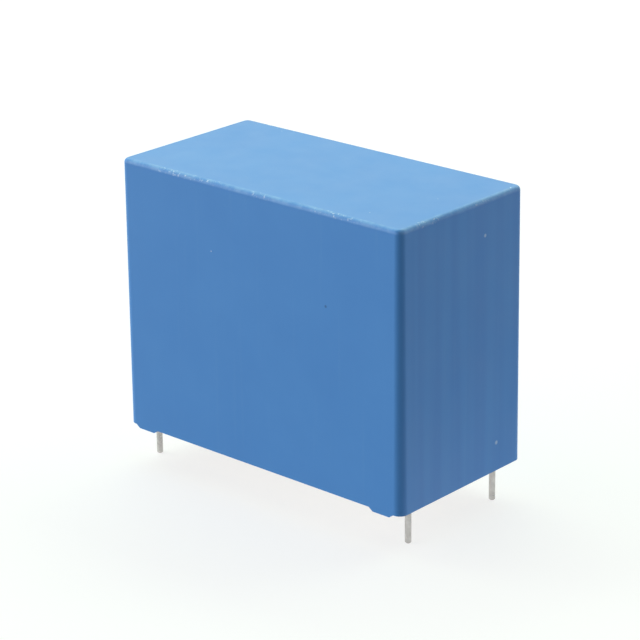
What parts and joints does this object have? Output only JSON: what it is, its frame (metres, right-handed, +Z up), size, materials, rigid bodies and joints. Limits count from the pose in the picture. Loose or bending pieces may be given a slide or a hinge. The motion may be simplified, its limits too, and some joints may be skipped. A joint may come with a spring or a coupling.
{
  "type": "box film capacitor",
  "caption": "Moulded box film capacitor that stands on straight solder leads, with small feet on the rim and a wound film element potted inside.",
  "frame": {"origin": "middle of the four leads, in the seating plane at the underside of the feet", "axes": "+X along the box, +Y across it, away from the side that the picture shows, and +Z up from the board; the leads point along -Z"},
  "size_m": [0.057, 0.029, 0.0506],
  "materials": {
    "case": "satin moulded plastic",
    "resin": "cast resin, slightly glossy",
    "wrap_film": "clear film",
    "metallized_film": "metallized film",
    "blank_film": "clear film",
    "sprayed_metal": "sprayed zinc, rough",
    "tinned_wire": "tinned, satin",
    "solder": "solder, bright"
  },
  "bodies": {
    "root": {"case": "case", "resin_seal": "resin", "outer_wrap": "wrap_film", "film_winding": "metallized_film", "winding_core": "blank_film", "end_contact_left": "sprayed_metal", "end_contact_right": "sprayed_metal", "lead_left_front": "tinned_wire", "lead_left_back": "tinned_wire", "lead_right_front": "tinned_wire", "lead_right_back": "tinned_wire", "solder_left_front": "solder", "solder_left_back": "solder", "solder_right_front": "solder", "solder_right_back": "solder"}
  },
  "joints": []
}
